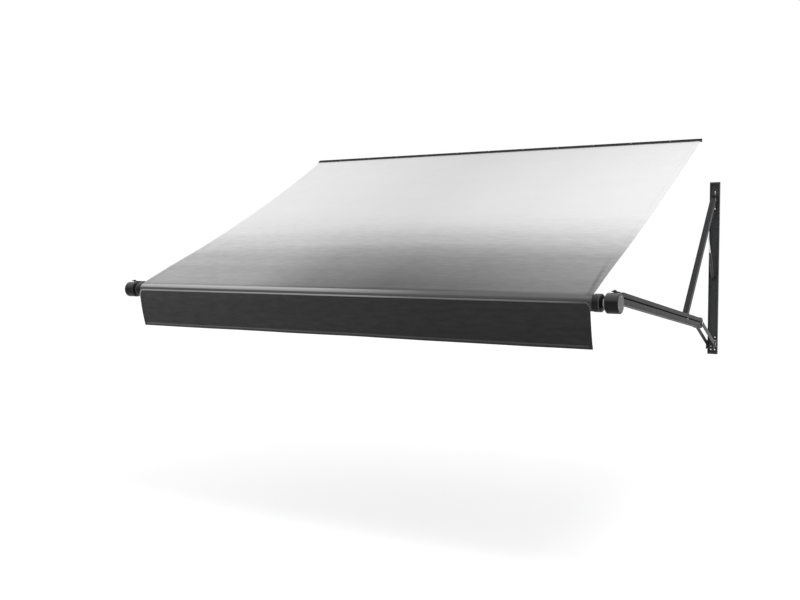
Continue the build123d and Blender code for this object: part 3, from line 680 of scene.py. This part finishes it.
# The foot's own dark grey, with a painted highlight along the upper edge of the hem.
VALANCE_FOOT_HIGHLIGHT = greys((0.945, 88), (0.96, 62))
# Painted light and shade across the valance, lighter at the left and darker at the right.
VALANCE_SIDE_LIGHT = (
    ((0.0, 1.27), (0.2, 1.2), (0.45, 0.94), (0.7, 0.72), (1.0, 0.72)),
    ((0.0, 1.38), (0.2, 1.26), (0.45, 0.94), (0.7, 0.68), (1.0, 0.7)),
    ((0.3, 0.0), (1.0, 1.0)))
VALANCE_CLOTH = {"rough": 0.7, "pitch": 0.0013, "sheen": 0.03, "gloss": 0.15}
TAB_FADE_LENGTH = 0.019
TAB_FADE = greys((0.0, 78), (1.0, 90))
# Painted light and shade across the tab, lighter at the left and darker at the right.
TAB_SIDE_LIGHT = same_side_light((0.0, 1.1), (0.5, 1.0), (1.0, 0.82))
PIPING_FADE = greys((0.0, 156), (1.0, 156))
# Painted shade on the piping and tape, darker towards the right end.
PIPING_SIDE_LIGHT = same_side_light((0.4, 1.0), (0.57, 0.9), (0.68, 0.52), (0.95, 0.42), (1.0, 0.15))

sheet_cloth = cloth_material("canopy_cloth_fade", SHEET_FADE, sheet_length, SHEET_SIDE_LIGHT,
                             streak=0.32, slub=SHEET_SLUB, corner_fold_shade=True)
roll_cloth = cloth_material("wound_cloth", ROLL_HIGHLIGHT_AND_SHADE, ROLL_HIGHLIGHT_AND_SHADE_LENGTH, ROLL_SIDE_LIGHT)
valance_cloth = cloth_material("valance_charcoal", VALANCE_FADE, valance_length, VALANCE_SIDE_LIGHT,
                               streak=0.5, **VALANCE_CLOTH)
foot_cloth = cloth_material("valance_hem_charcoal", VALANCE_FOOT_HIGHLIGHT, valance_length,
                            VALANCE_SIDE_LIGHT, streak=0.2, **VALANCE_CLOTH)
tab_cloth = cloth_material("valance_tab_grey", TAB_FADE, TAB_FADE_LENGTH, TAB_SIDE_LIGHT,
                           streak=0.15, **VALANCE_CLOTH)
piping_cloth = cloth_material("piping_grey", PIPING_FADE, 1.0, PIPING_SIDE_LIGHT, streak=0.04)
thread_dark = hard_material("thread_dark", (0.06, 0.06, 0.062), rough=0.7, grain=2500.0,
                            grain_depth=0.0001)


# Canopy

def canopy_strip(name, point_at, xs):
    """Closed strip of the sheet's full length over some places across it."""
    points, places = cloth_grid(point_at, xs, steps(0, 1, SHEET_ROWS), sheet_length)
    return cloth_solid(name, points, places, CLOTH, sheet_cloth)


def canopy_side_hem(name, way):
    """Turned edge sewn on the sheet, thicker than the cloth beside it."""
    xs = sorted(way * (cloth_half - HEM + HEM * k) for k in HEM_SHARES)
    return canopy_strip(name, hem_point, xs)


def canopy_stitches(name, way, inset):
    x = way * (cloth_half - inset)
    count = int((sheet_length - 2 * HEM_STITCH_END) / HEM_STITCH_PITCH)
    places, flat = [], []
    for k in range(count):
        share = (HEM_STITCH_END + k * HEM_STITCH_PITCH) / sheet_length
        middle = hem_point(x, share) + above * (CLOTH / 2)
        places.append((middle, along * HEM_STITCH_RUN, above))
        flat += [(x, share * sheet_length)] * STITCH_CORNERS
    row = stitch_row(name, places, HEM_STITCH_HEIGHT, sheet_cloth)
    write_cloth_place(row, flat)
    return row


canopy = canopy_strip("canopy_sheet", sheet_point, columns(SHEET_COLUMNS, cloth_half))
canopy_extras = []
for way, side in ((1, "right"), (-1, "left")):
    canopy_extras.append(canopy_side_hem("canopy_hem_" + side, way))
    for row_name, inset in HEM_STITCH_INSETS.items():
        canopy_extras.append(
            canopy_stitches("canopy_stitching_" + row_name + "_" + side, way, inset))

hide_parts("canopy")
for piece in [canopy] + canopy_extras:
    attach(piece, WALL_BODY)
    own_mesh(piece)


# Wound cloth

def wound_cloth():
    """The turns that stay on the tube, as one spiral strip whose outer end meets the sheet."""
    start = atan2(above.z, above.y)
    xs = columns(SPIRAL_COLUMNS, cloth_half)
    pitch = (wrap_radius - tube_radius - CLOTH) / SPIRAL_TURNS
    points, places = [], []
    run = 0.0
    for i in range(int(SPIRAL_STEPS * SPIRAL_TURNS) + 1):
        turn = 2 * pi * i / SPIRAL_STEPS
        radius = wrap_radius - CLOTH / 2 - pitch * turn / (2 * pi)
        y = roller.y + radius * cos(start + turn)
        z = roller.z + radius * sin(start + turn)
        shift = SPIRAL_SHIFT * sin(turn * SPIRAL_SHIFT_RATE)
        points.append([Vector((x + shift * x / cloth_half, y, z)) for x in xs])
        places.append([(x, run) for x in xs])
        run += radius * 2 * pi / SPIRAL_STEPS
    return cloth_solid("wound_cloth", points, places, CLOTH, roll_cloth), run


wound, wound_length = wound_cloth()
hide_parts("rolled_fabric")
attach(wound, ROLLER_BODY)


# Valance

def valance_half_at(share):
    """Half width of the valance, whose upper corners are rounded."""
    depth = share * valance_length
    if depth >= VALANCE_CORNER:
        return valance_half
    rise = VALANCE_CORNER - depth
    return valance_half - VALANCE_CORNER + sqrt(VALANCE_CORNER ** 2 - rise ** 2)


def valance_sheet():
    corner = VALANCE_CORNER / valance_length
    shares = [s * s * corner for s in steps(VALANCE_FIRST_ROW, 1, VALANCE_CORNER_ROWS)]
    shares += steps(shares[-1] + VALANCE_ROW_GAP, 1, VALANCE_ROWS)
    points, places = [], []
    for share in shares:
        xs = columns(VALANCE_COLUMNS, valance_half_at(share))
        points.append([valance_point(x, share) for x in xs])
        places.append([(x, share * valance_length) for x in xs])
    return cloth_solid("valance_sheet", points, places, CLOTH, valance_cloth)


def valance_bottom_hem():
    """Folded foot: a flat loop of cloth round the lower edge."""
    top = 1 - VALANCE_HEM / valance_length
    profile = [(share, CLOTH) for share in steps(top, 1, VALANCE_HEM_STEPS)]
    for turn in steps(0, pi, VALANCE_HEM_STEPS)[1:-1]:
        profile.append((1 + CLOTH * sin(turn) / valance_length, CLOTH * cos(turn)))
    profile += [(share, -CLOTH) for share in steps(1, top, VALANCE_HEM_STEPS)]
    xs = columns(VALANCE_COLUMNS, valance_half)
    points = [[valance_point(x, share, out) for x in xs] for share, out in profile]
    places = [[(x, share * valance_length) for x in xs] for share, _ in profile]
    return cloth_solid("valance_bottom_hem", points, places, VALANCE_HEM_CLOTH, foot_cloth)


def valance_side_hem(name, way):
    first = VALANCE_SIDE_START * VALANCE_CORNER / valance_length
    shares = steps(first, 1 - VALANCE_SIDE_END, VALANCE_SIDE_ROWS)
    xs = sorted(way * (valance_half - VALANCE_SIDE_HEM * (1 - k)) for k in HEM_SHARES)
    points, places = cloth_grid(lambda x, share: valance_point(x, share, CLOTH), xs, shares,
                                valance_length)
    return cloth_solid(name, points, places, CLOTH, valance_cloth)


def valance_edge_path(inset, tail):
    """Places (x, depth) along the top edge and round both corners, left to right."""
    radius = VALANCE_CORNER - inset
    flat = valance_half - VALANCE_CORNER
    right = [(flat + radius * sin(turn), VALANCE_CORNER - radius * cos(turn))
             for turn in steps(0, pi / 2, CORNER_STEPS)]
    right += [(valance_half - inset, VALANCE_CORNER + rise)
              for rise in steps(0, tail, TAIL_STEPS)[1:]]
    left = [(-x, depth) for x, depth in reversed(right)]
    straight = [(x, inset) for x in steps(-flat, flat, STRAIGHT_STEPS)[1:-1]]
    return left + straight + right


def valance_piping():
    path = [valance_point(x, depth / valance_length)
            for x, depth in valance_edge_path(0.0, PIPING_TAIL)]
    tube = tube_along("valance_piping", path, bead_radius, piping_cloth)
    write_cloth_place(tube, [(vertex.co.x, vertex.co.z) for vertex in tube.data.vertices])
    return tube


def valance_tape():
    """Pale binding on the front of the top edge and round the corners."""
    outer = valance_edge_path(TAPE_INSET, TAPE_TAIL)
    inner = valance_edge_path(TAPE_INSET + TAPE_WIDTH, TAPE_TAIL)
    points, places = [], []
    for t in steps(0, 1, TAPE_STEPS):
        row = [(a[0] + (b[0] - a[0]) * t, a[1] + (b[1] - a[1]) * t)
               for a, b in zip(outer, inner)]
        points.append([valance_point(x, depth / valance_length, CLOTH) for x, depth in row])
        places.append(row)
    return cloth_solid("valance_tape", points, places, CLOTH, piping_cloth)


tab_radius = wrap_radius + TAB_LIFT
tab_sweep = radians(TAB_SWEEP)


def valance_tab():
    """Dark cloth that runs from the bead up over the front of the roller into its groove."""
    first = atan2(bead.z - roller.z, bead.y - roller.y) % (2 * pi)
    xs = columns(TAB_COLUMNS, valance_half)
    points, places = [], []
    for turned in steps(0, tab_sweep, TAB_STEPS):
        y = roller.y + tab_radius * cos(first - turned)
        z = roller.z + tab_radius * sin(first - turned)
        points.append([Vector((x, y, z)) for x in xs])
        places.append([(x, tab_radius * turned) for x in xs])
    return cloth_solid("valance_tab", points, places, CLOTH, tab_cloth)


def valance_stitches(name, spots, direction, out):
    """Stitches in one direction at places (x, share) on the valance."""
    run = direction * VALANCE_STITCH_RUN
    places = [(valance_point(x, share, out), run, outward) for x, share in spots]
    return stitch_row(name, places, VALANCE_STITCH_HEIGHT, thread_dark)


def foot_stitches(name):
    half = valance_half - FOOT_STITCH_MARGIN
    share = 1 - (VALANCE_HEM - FOOT_STITCH_INSET) / valance_length
    count = int(2 * half / VALANCE_STITCH_PITCH)
    spots = [(-half + VALANCE_STITCH_PITCH * (k + 0.5), share) for k in range(count)]
    return valance_stitches(name, spots, Vector((1, 0, 0)), FOOT_STITCH_OUT)


def side_stitches(name, way):
    x = way * (valance_half - VALANCE_SIDE_HEM * SIDE_STITCH_SHARE)
    first = SIDE_STITCH_START * VALANCE_CORNER
    count = int((valance_length - first - FOOT_STITCH_MARGIN) / VALANCE_STITCH_PITCH)
    spots = [(x, (first + VALANCE_STITCH_PITCH * k) / valance_length) for k in range(count)]
    return valance_stitches(name, spots, down, CLOTH * SIDE_STITCH_OUT)


valance = valance_sheet()
tab = valance_tab()
hems = [
    valance_bottom_hem(),
    valance_side_hem("valance_hem_right", 1),
    valance_side_hem("valance_hem_left", -1),
]
piping = valance_piping()
tape = valance_tape()
stitching = [
    foot_stitches("valance_hem_stitching"),
    side_stitches("valance_side_stitching_right", 1),
    side_stitches("valance_side_stitching_left", -1),
]
valance_extras = hems + [piping, tape] + stitching
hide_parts("valance")
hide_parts("valance_bead")
for piece in [valance, tab] + valance_extras:
    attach(piece, ROLLER_BODY)
for piece in [valance] + valance_extras:
    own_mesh(piece)


# Materials of the pieces that stay as they are

def side_both(*names):
    return [name + side for name in names for side in ("_right", "_left")]


ARM_SLOPE = radians(-8.25)
ARM_DEPTH = 0.066
ARM_GROOVE_RISE = 0.0035
ARM_GROOVE = 0.008
ARM_GROOVE_EDGE = ((0.5, 1.0), (0.62, 0.0))
ARM_GLOSS = 0.1
ARM_ROUGH = 0.45
ARM_CLOUD = (5.0, 4.0, 0.6)
ARM_DARK = (0.029, 0.029, 0.031)
ARM_PALE = (0.037, 0.037, 0.039)
ARM_RUBBED = (0.1, 0.1, 0.105)
ARM_WEAR = 0.4
# Painted shade in the arm's groove.
ARM_GROOVE_SHADE = (0.001, 0.001, 0.001)
# Painted light and shade in bands across the arm's profile: darker at the lower edge and around
# the groove, lighter at the top edge.
ARM_SHADE_BAND_SHARE = 0.9
ARM_SHADE_BANDS = ((0.0, 0.5), (0.1, 0.75), (0.2, 1.0), (0.45, 1.0), (0.52, 0.7), (0.6, 0.7),
             (0.72, 1.0), (0.9, 0.95), (1.0, 1.3))
ARM_GRAIN = 1800.0
ARM_GRAIN_DEPTH = 0.00006


def arm_material():
    """Powder coat of the main arm, with painted light and shade in bands along its profile and
    painted shade in the groove.
    """
    n = Surface("arm_powder")
    n.set(Specular_IOR_Level=ARM_GLOSS)
    place = n.place()
    level = cos(ARM_SLOPE) * elbow.z - sin(ARM_SLOPE) * elbow.y
    height = n.math("SUBTRACT", n.dot(place, (0, -sin(ARM_SLOPE), cos(ARM_SLOPE))), level)
    off = n.math("ABSOLUTE", n.math("SUBTRACT", height, ARM_GROOVE_RISE))
    groove = n.ramp(n.math("DIVIDE", off, ARM_GROOVE), ARM_GROOVE_EDGE)
    tone = n.mix("MIX", n.noise(place, *ARM_CLOUD), ARM_DARK, ARM_PALE)
    # Painted light and shade in bands across the profile.
    band = n.ramp(n.math("ADD", n.math("DIVIDE", height, ARM_DEPTH), 0.5, True), ARM_SHADE_BANDS)
    tone = n.mix("MULTIPLY", ARM_SHADE_BAND_SHARE, tone, band)
    tone = n.mix("MIX", n.edge_mask(place, ARM_WEAR), tone, ARM_RUBBED)
    # Painted shade in the groove.
    tone = n.mix("MIX", groove, tone, ARM_GROOVE_SHADE)
    dull = n.math("MAXIMUM", n.smeared(place, ARM_ROUGH), groove)
    fine = n.noise(place, ARM_GRAIN, *GRAIN)
    return n.finish(tone, dull, n.bump(fine, GRAIN_STRENGTH, ARM_GRAIN_DEPTH))


finishes = (
    (hard_material("rail_black", (0.016, 0.016, 0.017), rough=0.45, wear=0.25, gloss=0.3),
     ["awning_rail"]),
    (hard_material("stop_black", (0.025, 0.025, 0.025), rough=0.6), ["rail_stops"]),
    (hard_material("cord_white", (0.7, 0.7, 0.68), rough=0.6, grain=1500.0), ["canopy_bead"]),
    (hard_material("tube_aluminium", (0.66, 0.67, 0.68), metallic=1.0, rough=0.36,
                   brushed=(0.04, 1.0, 1.0), grain_depth=0.00003), ["roller_tube"]),
    # The roller caps carry a painted highlight on their upper faces.
    (hard_material("cap_black", (0.006, 0.006, 0.0065), rough=0.34, grain=1400.0, wear=0.3,
                   gloss=0.13, top_highlight=0.3), side_both("roller_cap")),
    (hard_material("turned_steel", (0.5, 0.5, 0.5), metallic=1.0, rough=0.3,
                   brushed=(1.0, 0.05, 0.05)), ["drive_shaft", "idler_spindle"]),
    (hard_material("bush_nylon", (0.62, 0.61, 0.57), rough=0.5),
     ["idler_bearing"] + side_both("arm_bushes")),
    (arm_material(), side_both("main_arm")),
    (hard_material("upper_powder", (0.027, 0.028, 0.03), rough=0.42, grain=1800.0,
                   grain_depth=0.00006, wear=0.4, gloss=0.2),
     side_both("upper_arm", "lower_link")),
    (hard_material("casting_black", (0.014, 0.014, 0.015), rough=0.5, grain=700.0,
                   grain_depth=0.00012, wear=0.3, gloss=0.3),
     ["drive_head", "idler_head"] + side_both("arm_knuckle", "arm_clamp")),
    (hard_material("wall_powder", (0.036, 0.037, 0.039), rough=0.45, grain=1800.0,
                   grain_depth=0.00006, wear=0.4, gloss=0.35),
     ["strut_brackets"] + side_both("wall_channel", "upper_wall_bracket",
                                    "lower_wall_bracket")),
    (hard_material("end_plastic", (0.022, 0.022, 0.022), rough=0.55),
     ["channel_caps", "cable_gland"]),
    (hard_material("plated_steel", (0.5, 0.5, 0.5), metallic=1.0, rough=0.33, grain=1500.0),
     ["bracket_rivets", "upper_pivot_pins", "lower_pivot_pins", "strut_pins"]
     + side_both("arm_pins", "link_rivets", "strut_stud", "cover_screws")),
    (hard_material("bolt_black", (0.012, 0.012, 0.013), rough=0.42, wear=0.4, gloss=0.4),
     side_both("clamp_bolts")),
    (hard_material("strut_black", (0.014, 0.014, 0.015), rough=0.28, wear=0.3),
     side_both("gas_cylinder")),
    (hard_material("rod_chrome", (0.75, 0.75, 0.76), metallic=1.0, rough=0.14, blotch=0.03),
     side_both("gas_rod")),
    (hard_material("motor_grey", (0.16, 0.16, 0.17), rough=0.45, wear=0.3), ["gear_motor"]),
    # The covers carry a painted highlight on their upper faces.
    (hard_material("cover_black", (0.006, 0.006, 0.0065), rough=0.3, grain=1300.0, wear=0.3,
                   gloss=0.12, top_highlight=0.55), ["motor_cover", "idler_cover"]),
    (hard_material("disc_grey", (0.085, 0.085, 0.087), rough=0.34, grain=1300.0, gloss=0.25),
     ["motor_end_disc", "idler_end_disc"]),
)
for material, names in finishes:
    for name in names:
        data = nodes[name].data
        data.materials.clear()
        data.materials.append(material)


# Small trim that is only seen

RING_SIDES = 96
RING_EASE = 0.2
CAP_RING_FROM_CAP = 0.0355
CAP_RING_WIDTH = 0.00288
CAP_RING_INNER = 0.0016
CAP_RING_OUTER = 0.0002
HUB_RADIUS = 0.026
HUB_LENGTH = 0.0185
HUB_INNER = 0.0004
HUB_OUTER = 0.0005


def ring(name, x, inner, outer, width, material):
    """Ring round the roller's axis with eased edges."""
    half, ease = width / 2, width * RING_EASE
    profile = [(x - half, inner), (x - half, outer - ease), (x - half + ease, outer),
               (x + half - ease, outer), (x + half, outer - ease), (x + half, inner)]
    verts, faces = [], []
    for s in range(RING_SIDES):
        turn = 2 * pi * s / RING_SIDES
        for px, r in profile:
            verts.append((px, roller.y + r * cos(turn), roller.z + r * sin(turn)))
    count = len(profile)
    for s in range(RING_SIDES):
        here, beyond = s * count, (s + 1) % RING_SIDES * count
        for k in range(count):
            k_next = (k + 1) % count
            faces.append((here + k, here + k_next, beyond + k_next, beyond + k))
    return new_object(name, verts, faces, material, smooth=False)


ring_material = hard_material("ring_silver", (0.16, 0.16, 0.165), metallic=1.0, rough=0.42,
                              blotch=0.06)
hub_material = hard_material("hub_steel", (0.26, 0.26, 0.265), metallic=1.0, rough=0.4,
                             brushed=(1.0, 0.05, 0.05))
for way, side in ((1, "right"), (-1, "left")):
    cap_ring = ring("cap_ring_" + side, way * (cap_low.x + CAP_RING_FROM_CAP),
                    cap_radius - CAP_RING_INNER, cap_radius - CAP_RING_OUTER, CAP_RING_WIDTH,
                    ring_material)
    hub = ring("hub_sleeve_" + side, way * (cap_high.x - HUB_LENGTH / 2),
               HUB_RADIUS - HUB_INNER, HUB_RADIUS + HUB_OUTER, HUB_LENGTH, hub_material)
    for trim in (cap_ring, hub):
        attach(trim, ROLLER_BODY)


# Stage, light and camera

GROUND = -2.69
FLOOR_HALF = 30.0
FLOOR_LIFT = 0.37
FLOOR_ROUGH = 0.9
FLOOR_CLOUD = (0.6, 3.0, 0.5)
FLOOR_TONES = ((0.3, (0.88, 0.88, 0.885)), (0.7, (0.9, 0.9, 0.9)))
WHITE = (1, 1, 1, 1)
WORLD_LIGHT = 0.76

KEY_PLACE = (2.5, -3.0, 5.5)
KEY_TARGET = (0.0, -1.4, -0.6)
KEY_SIZE = (3.0, 2.0)
KEY_WATTS = 160

CAMERA_PLACE = (3.63, -7.377, -0.795)
CAMERA_PITCH = 2.962
CAMERA_YAW = 31.375
PIXELS_PER_RADIAN = 982.7
FRAME_PIXELS = 800
SENSOR_MM = 36.0
CAMERA_CLIP = 200


def stage_material():
    """Pale floor that keeps the shadow and looks white behind the object."""
    n = Surface("floor_pale")
    n.set(Roughness=FLOOR_ROUGH, Specular_IOR_Level=0.0, Emission_Color=WHITE)
    tone = n.ramp(n.noise(n.place(), *FLOOR_CLOUD), FLOOR_TONES)
    n.link(n.math("MULTIPLY", n.seen_directly(), FLOOR_LIFT), n.shader.inputs["Emission Strength"])
    return n.finish(tone)


corners = [(x * FLOOR_HALF, y * FLOOR_HALF, GROUND)
           for x, y in ((-1, -1), (1, -1), (1, 1), (-1, 1))]
new_object("floor", corners, [(0, 1, 2, 3)], stage_material(), smooth=False)


def studio_world():
    """White world, a little dimmer as a light than it looks."""
    world = bpy.data.worlds.new("studio")
    bpy.context.scene.world = world
    world.use_nodes = True
    n = Nodes(world.node_tree)
    light = n.tree.nodes["Background"]
    backdrop = n.add("ShaderNodeBackground")
    for node, strength in ((light, WORLD_LIGHT), (backdrop, 1.0)):
        node.inputs["Color"].default_value = WHITE
        node.inputs["Strength"].default_value = strength
    choose = n.add("ShaderNodeMixShader")
    n.link(n.seen_directly(), choose.inputs[0])
    n.link(light.outputs[0], choose.inputs[1])
    n.link(backdrop.outputs[0], choose.inputs[2])
    n.link(choose.outputs[0], n.tree.nodes["World Output"].inputs["Surface"])


def key_light():
    data = bpy.data.lights.new("key", "AREA")
    data.shape = "RECTANGLE"
    data.size, data.size_y = KEY_SIZE
    data.energy = KEY_WATTS
    lamp = bpy.data.objects.new("key", data)
    lamp.location = KEY_PLACE
    aim = Vector(KEY_TARGET) - Vector(KEY_PLACE)
    lamp.rotation_euler = aim.to_track_quat("-Z", "Y").to_euler()
    bpy.context.scene.collection.objects.link(lamp)


def photo_camera():
    """Camera fitted to the photograph, its angles in degrees."""
    data = bpy.data.cameras.new("camera")
    data.sensor_width = SENSOR_MM
    data.lens = PIXELS_PER_RADIAN * SENSOR_MM / FRAME_PIXELS
    data.clip_end = CAMERA_CLIP
    camera = bpy.data.objects.new("camera", data)
    camera.location = CAMERA_PLACE
    camera.rotation_euler = (radians(90 - CAMERA_PITCH), 0, radians(CAMERA_YAW))
    bpy.context.scene.collection.objects.link(camera)
    bpy.context.scene.camera = camera


studio_world()
key_light()
photo_camera()
bpy.context.scene.view_settings.view_transform = "Standard"
